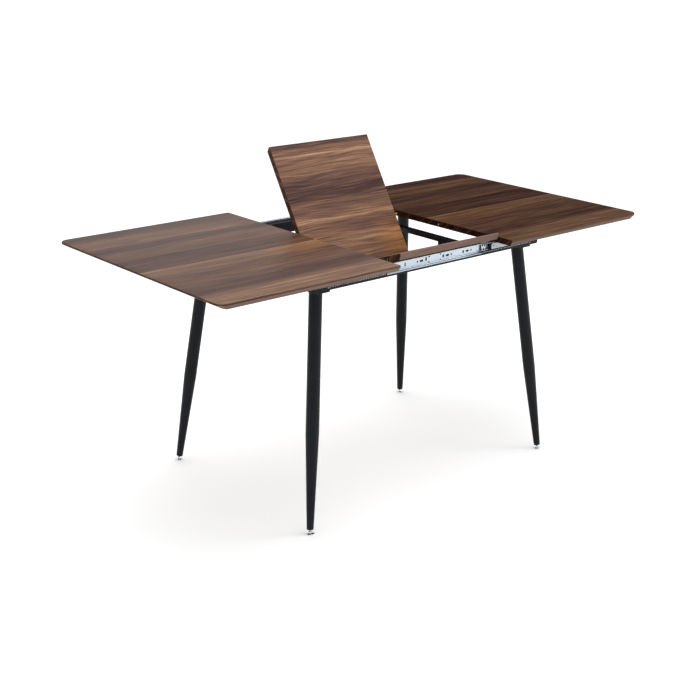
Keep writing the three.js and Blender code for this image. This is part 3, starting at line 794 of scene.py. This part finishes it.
def build_cage(side_name, row_name, row):
    """A ball cage: a folded strip with windows, its plastic fittings, and its balls."""
    node = f"{side_name}_{row_name}_ball_cage"
    body = side_name + "_cages"
    low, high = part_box(node)
    web = web_points(CAGE_BACK, CAGE_MOUTH, CAGE_HALF_HEIGHT, CAGE_SHEET, 0.0014)
    cage = piece(node + "_formed", *along_x(slide_section(row, web, 0.0005), low.x, high.x),
                 ZINC, body, "zinc_steel")
    y0, y1 = through(row, 0.001, 0.0042)
    windows = []
    for i in range(int((high.x - low.x - CAGE_WINDOW["margin"]) / CAGE_WINDOW["pitch"])):
        x = low.x + CAGE_WINDOW["first"] + i * CAGE_WINDOW["pitch"]
        for dz in (-CAGE_WINDOW["rise"], CAGE_WINDOW["rise"]):
            windows.append(stadium(x + dz * CAGE_WINDOW["lean"], SLIDE_Z + dz,
                                   CAGE_WINDOW["width"], CAGE_WINDOW["height"], y0, y1))
    bored(cage, joined(*windows))
    # the cage's legs take the dark zinc: painted shade where they sit deep in the slide
    cage.data.materials.append(DARK_ZINC_AND_SHADE)
    for face in cage.data.polygons:
        face.material_index = int(abs(face.center.z - SLIDE_Z) > CAGE_HALF_HEIGHT - CAGE_LEG_BAND)
    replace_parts(cage, node)
    piece(node + "_liner", *cage_fittings(row, low.x, high.x), BLACK_PLASTIC, body, "black_plastic")
    balls = []
    for i in range(int((high.x - low.x) / BALL_PITCH)):
        x = low.x + (i + 0.5) * BALL_PITCH
        for up in (-1, 1):
            centre = (x, row * (SLIDE_FACE + BALL_DEPTH), SLIDE_Z + up * BALL_RISE)
            balls.append(ball(centre, BALL_RADIUS))
    piece(node + "_balls", *joined(*balls), CHROME, body, "chrome")


def cage_fittings(row, x0, x1):
    """A clip at each end, the liner behind the cage, and the dark strips over the slide's lips."""
    clip = slide_section(row, mirrored([
        (CAGE_CLIP["back"], CAGE_HALF_HEIGHT - 0.001, 0.0008),
        (CAGE_CLIP["front"], CAGE_HALF_HEIGHT - 0.003, 0.0008)]), 0.0008)
    fittings = [along_x(clip, x, x + CAGE_CLIP["length"])
                for x in (x0 + CAGE_CLIP["inset"], x1 - CAGE_CLIP["length"] - CAGE_CLIP["inset"])]
    back, front, half = CAGE_LINER["back"], CAGE_LINER["front"], CAGE_LINER["half_height"]
    liner = [(back, half), (front, half), (front, -half), (back, -half)]
    fittings.append(along_x(slide_section(row, liner, 0.0001),
                            x0 + CAGE_LINER["inset"], x1 - CAGE_LINER["inset"]))
    # the dark strips that darken the slide's lips beside the balls, for a darkness of unknown cause
    back, front = DARK_LIP_STRIP["back"], DARK_LIP_STRIP["front"]
    for up in (-1, 1):
        low, high = up * DARK_LIP_STRIP["low"], up * DARK_LIP_STRIP["high"]
        strip = [(back, low), (front, low), (front, high), (back, high)]
        fittings.append(along_x(slide_section(row, strip, 0.00005), x0, x1))
    return joined(*fittings)


# ---------------------------------------------------------------- legs
LEG_SEGMENTS = 96
TAPER_STEPS = 12
WELD_SEGMENTS = 72
WELD_RIPPLES = 18
THREAD_TURNS = 22
THREAD_DEPTH = 0.0004
THREAD_START = 0.007
THREAD_RUN = LEG_LIFT + 0.011
PLATE_SCREW_X = 0.0185
PLATE_SCREW_INSET = 0.009
PLATE_SCREW_RADIUS = 0.0032
GLIDE_PROFILE = [
    # radius, height: the flat sole, its rounded rim, and the boss that holds the stem
    (0.0002, 0), (GLIDE_RADIUS - 0.0012, 0), (GLIDE_RADIUS - 0.0004, 0.0002),
    (GLIDE_RADIUS, 0.0009), (GLIDE_RADIUS, 0.0028), (GLIDE_RADIUS - 0.0004, 0.0034),
    (GLIDE_RADIUS - 0.0016, 0.0041), (0.0075, 0.0047), (0.006, 0.0052), (0.0054, 0.0066),
    (0.0052, 0.008), (0.004, 0.0091), (0.0018, 0.0095), (0.0002, 0.0095),
]


def build_legs():
    for row_name, row in ROWS.items():
        for side_name, side in SIDES.items():
            build_leg(f"{row_name}_{side_name}", side, row)


def build_leg(name, side, row):
    """A leg with its weld, its foot, and the plate and screws at its head."""
    plate_low, plate_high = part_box(name + "_leg_plate")
    head = Vector((side * LEG_TOP[0], row * LEG_TOP[1], plate_low.z - GAP))
    foot = Vector((side * LEG_FOOT[0], row * LEG_FOOT[1], 0))
    axis = (head - foot).normalized()
    place = stood(foot, axis)
    build_leg_tube(name, head, axis, place)
    build_leg_weld(name, head, axis, place)
    build_glide(name, foot, place)
    softened(name + "_leg_insert", BLACK_PLASTIC, 0.0003)
    softened(name + "_leg_plate", BLACK_STEEL, 0.0008, 3)

    screws = []
    for dx in (-PLATE_SCREW_X, PLATE_SCREW_X):
        for y in (plate_low.y + PLATE_SCREW_INSET, plate_high.y - PLATE_SCREW_INSET):
            base = (side * LEG_TOP[0] + dx, y, plate_low.z)
            screws.append(screw_head(base, (0, 0, -1), PLATE_SCREW_RADIUS))
    piece(name + "_leg_plate_screws", *joined(*screws), DARK_ZINC_AND_SHADE, "frame", "zinc_steel")


def build_leg_tube(name, head, axis, place):
    bend = LEG_LIFT + LEG_TAPER

    def ring(radius, along):
        angles = [2 * math.pi * i / LEG_SEGMENTS for i in range(LEG_SEGMENTS)]
        return [place @ Vector((radius * math.cos(a), radius * math.sin(a), along)) for a in angles]

    def cut_ring(radius):
        """The ring where the tube meets the level plane under its plate."""
        return [p + axis * ((head.z - p.z) / axis.z) for p in ring(radius, bend)]

    tip = LEG_TIP_RADIUS
    outside = [ring(tip - 0.0011, LEG_LIFT), ring(tip - 0.0004, LEG_LIFT + 0.0002),
               ring(tip, LEG_LIFT + 0.001)]
    for step in range(1, TAPER_STEPS):
        t = step / TAPER_STEPS
        along = LEG_LIFT + 0.001 + (LEG_TAPER - 0.001) * t
        outside.append(ring(tip + (LEG_RADIUS - tip) * t, along))
    outside += [ring(LEG_RADIUS, bend), cut_ring(LEG_RADIUS)]
    inside = [cut_ring(LEG_RADIUS - LEG_WALL), ring(LEG_RADIUS - LEG_WALL, bend),
              ring(tip - LEG_WALL, LEG_LIFT + 0.0003)]
    rings = outside + inside
    verts, faces = tube_of(rings + [rings[0]], closed_ends=False)
    leg = piece(name + "_leg_tube", verts, faces, BLACK_STEEL, "frame", "black_steel")
    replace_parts(leg, name + "_leg")


def build_leg_weld(name, head, axis, place):
    """A rippled bead round the leg's head, under its plate."""
    out = LEG_RADIUS + 0.0003
    bead = []
    for i in range(WELD_SEGMENTS):
        angle = 2 * math.pi * i / WELD_SEGMENTS
        puddle = 0.0016 + 0.0003 * math.sin(WELD_RIPPLES * angle)
        p = place @ Vector((out * math.cos(angle), out * math.sin(angle), LEG_LIFT + LEG_TAPER))
        p += axis * ((head.z - p.z) / axis.z)
        away = (p - head).normalized()
        bead.append([p + away * (-0.0004), p + away * puddle - Vector((0, 0, 0.0001)),
                     p + away * (puddle * 0.55) - Vector((0, 0, puddle * 0.75)),
                     p - Vector((0, 0, puddle * 1.1))])
    columns = [list(column) for column in zip(*bead)]
    verts, faces = tube_of(columns + [columns[0]], closed_ends=False)
    piece(name + "_leg_weld", verts, faces, WELD, "frame", "black_steel")


def build_glide(name, foot, place):
    """The foot: a turned disc that stands level, and a threaded stem along the leg."""
    disc = moved(lathe(GLIDE_PROFILE, 64), Matrix.Translation(foot))
    steps = THREAD_TURNS * 2
    thread = []
    for i in range(steps + 1):
        radius = STEM_RADIUS if i % 2 else STEM_RADIUS - THREAD_DEPTH
        thread.append((radius, THREAD_START + THREAD_RUN * i / steps))
    stem = moved(lathe(thread, 32), place)
    glide = piece(name + "_glide_turned", *joined(disc, stem), CHROME, name + "_foot", "chrome")
    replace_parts(glide, name + "_glide")


# ---------------------------------------------------------------- frame and fittings
CROSSBAR_RIPPLES = 14
CROSSBAR_BEAD_INSET = 0.002
BRACKET_SCREWS = 4
FLANGE_SCREW_Y = SLIDE_FACE + SLIDE_DEPTH + 0.0135
WEB_SCREW_Y = SLIDE_FACE + SLIDE_DEPTH + GAP + 0.002
FLANGE_SCREW_RADIUS, WEB_SCREW_RADIUS, ARM_SCREW_RADIUS = 0.0036, 0.003, 0.0034
ARM_SCREW_X = 0.170
ARM_SCREW_ROWS = (-0.2600, -0.2330)
ARM_FLANGE = 0.003


def build_frame():
    for row_name in ROWS:
        softened(row_name + "_side_rail", BLACK_STEEL, 0.0012, 3)
        for side_name in SIDES:
            softened(f"{row_name}_{side_name}_rail_cap", BLACK_PLASTIC, 0.0006)
    for side_name, side in SIDES.items():
        softened(side_name + "_crossbar", BLACK_STEEL, 0.0011, 3)
        softened(side_name + "_crossbar_block", BLACK_PLASTIC, 0.001, 3)
        crossbar_welds(side_name)
        for row_name, row in ROWS.items():
            build_bracket(side_name, row_name, row)
        softened("leaf_arm_" + side_name, BLACK_STEEL, 0.0005)
        softened("leaf_guide_" + side_name, BLACK_STEEL, 0.0004)
        arm_screws(side_name, side)


def crossbar_welds(side_name):
    """Short fillets where a crossbar's top and underside meet the rails."""
    low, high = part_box(side_name + "_crossbar")
    steps = CROSSBAR_RIPPLES * 2
    length = high.x - low.x - 2 * CROSSBAR_BEAD_INSET
    beads = []
    for row in (-1, 1):
        y = row * (high.y + 0.0002)
        for z, up in ((high.z, 1), (low.z, -1)):
            rings = []
            for i in range(steps + 1):
                x = low.x + CROSSBAR_BEAD_INSET + length * i / steps
                size = 0.0018 if i % 2 else 0.0014
                if i in (0, steps):
                    size = 0.0006
                if up < 0:
                    size *= 0.4
                rings.append([(x, y, z - up * 0.0002), (x, y, z + up * size),
                              (x, y - row * size * 0.6, z + up * size * 0.6),
                              (x, y - row * size, z - up * 0.0002)])
            beads.append(tube_of(rings))
    piece(side_name + "_crossbar_welds", *joined(*beads), WELD, "frame", "black_steel")


def build_bracket(side_name, row_name, row):
    """The pressed angle between a top and its slide member, with its screws."""
    node = f"{side_name}_{row_name}_top_bracket"
    low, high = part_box(node)
    softened(node, BLACK_STEEL, 0.0005)
    xs = [low.x + (high.x - low.x) * (i + 0.5) / BRACKET_SCREWS for i in range(BRACKET_SCREWS)]
    heads = [screw_head((x, row * FLANGE_SCREW_Y, high.z - 0.002), (0, 0, -1), FLANGE_SCREW_RADIUS)
             for x in xs]
    for x in xs[:-1]:
        base = (x + 0.012, row * WEB_SCREW_Y, SLIDE_Z - 0.001)
        heads.append(screw_head(base, (0, row, 0), WEB_SCREW_RADIUS))
    piece(node + "_screws", *joined(*heads), DARK_ZINC_AND_SHADE, side_name + "_top", "zinc_steel")


def arm_screws(side_name, side):
    """The screws that hold a leaf arm's flange up to the near half."""
    z = TABLE_HEIGHT - BOARD - GAP - ARM_FLANGE
    down = NEAR_PLACE.to_3x3() @ Vector((0, 0, -1))
    heads = [screw_head(NEAR_PLACE @ Vector((side * ARM_SCREW_X, y, z)), down, ARM_SCREW_RADIUS)
             for y in ARM_SCREW_ROWS]
    piece(f"leaf_arm_{side_name}_screws", *joined(*heads), DARK_ZINC_AND_SHADE, "leaf_near", "zinc_steel")


HINGE_X = 0.12
HINGE_RADIUS = 0.006
HINGE_LENGTH = 0.0245
HINGE_RIBS = 8
HINGE_RIB_PITCH = 0.0027


def build_hinges():
    """Concealed barrels in the meeting edges of the leaf, each with ribs and a hole in its face."""
    for row_name, row in ROWS.items():
        place = NEAR_PLACE if row < 0 else FAR_PLACE
        for side_name, side in SIDES.items():
            node = f"leaf_{row_name}_hinge_{side_name}"
            start = Vector((side * HINGE_X, row * 0.00045, TABLE_HEIGHT - BOARD / 2 + 0.0005))
            r, groove = HINGE_RADIUS, HINGE_RADIUS - 0.0003
            profile = [(0.0022, 0.006), (0.0022, 0.0002), (r - 0.0004, 0), (r, 0.0004)]
            for i in range(HINGE_RIBS):
                along = 0.002 + HINGE_RIB_PITCH * i
                profile += [(r, along), (groove, along + 0.0004), (groove, along + 0.001),
                            (r, along + 0.0014)]
            profile += [(r, HINGE_LENGTH - 0.0005), (r - 0.0005, HINGE_LENGTH),
                        (0.0002, HINGE_LENGTH)]
            barrel = moved(lathe(profile, 32), place @ stood(start, Vector((0, row, 0))))
            body = nodes[node]["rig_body"]
            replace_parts(piece(node + "_turned", *barrel, BRASS, body, "brass"), node)


# ---------------------------------------------------------------- camera, floor and light
CAMERA_PLACE = (-2.50215, -2.82024, 1.65974)
CAMERA_YAW, CAMERA_PITCH, CAMERA_ROLL = 40.98, 19.11, 0.81
CAMERA_LENS = 65.36
FLOOR_REACH = 60
FLOOR_GLOW = 0.12
WORLD_STRENGTH = 1.03


def build_camera():
    yaw, pitch, roll = (math.radians(a) for a in (CAMERA_YAW, CAMERA_PITCH, CAMERA_ROLL))
    ahead = Vector((math.cos(pitch) * math.sin(yaw), math.cos(pitch) * math.cos(yaw),
                    -math.sin(pitch)))
    right = Vector((math.cos(yaw), -math.sin(yaw), 0))
    up = right.cross(ahead)
    rolled_right = math.cos(roll) * right + math.sin(roll) * up
    rolled_up = math.cos(roll) * up - math.sin(roll) * right
    camera = bpy.data.objects.new("camera", bpy.data.cameras.new("camera"))
    bpy.context.scene.collection.objects.link(camera)
    camera.data.sensor_width = 36
    camera.data.lens = CAMERA_LENS
    camera.data.clip_end = 200
    turn = Matrix((rolled_right, rolled_up, -ahead)).transposed().to_4x4()
    camera.matrix_world = Matrix.Translation(CAMERA_PLACE) @ turn
    bpy.context.scene.camera = camera


def build_floor():
    mesh = bpy.data.meshes.new("floor")
    reach = FLOOR_REACH
    corners = [(-reach, -reach, 0), (reach, -reach, 0), (reach, reach, 0), (-reach, reach, 0)]
    mesh.from_pydata(corners, [], [(0, 1, 2, 3)])
    g = Graph("floor")
    cloud = g.noise(g.add("ShaderNodeTexCoord").outputs["Object"], 2, scale=0.7)
    g.set(Base_Color=g.ramp(cloud, [(0.3, (0.95, 0.95, 0.95, 1)), (0.7, (0.96, 0.96, 0.96, 1))]),
          Roughness=0.9, Emission_Color=WHITE, Emission_Strength=FLOOR_GLOW)
    mesh.materials.append(g.material)
    floor = bpy.data.objects.new("floor", mesh)
    bpy.context.scene.collection.objects.link(floor)
    floor.location.z = -0.0002


def area_light(name, place, target, size, power):
    light = bpy.data.lights.new(name, "AREA")
    light.shape = "RECTANGLE"
    light.size, light.size_y = size
    light.energy = power
    lamp = bpy.data.objects.new(name, light)
    bpy.context.scene.collection.objects.link(lamp)
    lamp.location = place
    lamp.rotation_euler = (Vector(target) - Vector(place)).to_track_quat("-Z", "Y").to_euler()


def build_light():
    bpy.context.scene.view_settings.view_transform = "Standard"
    world = bpy.data.worlds.new("studio")
    bpy.context.scene.world = world
    world.use_nodes = True
    background = world.node_tree.nodes["Background"]
    background.inputs["Color"].default_value = WHITE
    background.inputs["Strength"].default_value = WORLD_STRENGTH
    area_light("overhead", place=(0.3, 0.2, 3.2), target=(0, 0, 0.4), size=(3.4, 2.6), power=45)
    area_light("right_fill", place=(2.6, -2.4, 1.5), target=(0.2, 0, 0.5),
               size=(1.4, 1.8), power=30)


build_boards()
build_slides()
build_legs()
build_frame()
build_hinges()
build_camera()
build_floor()
build_light()
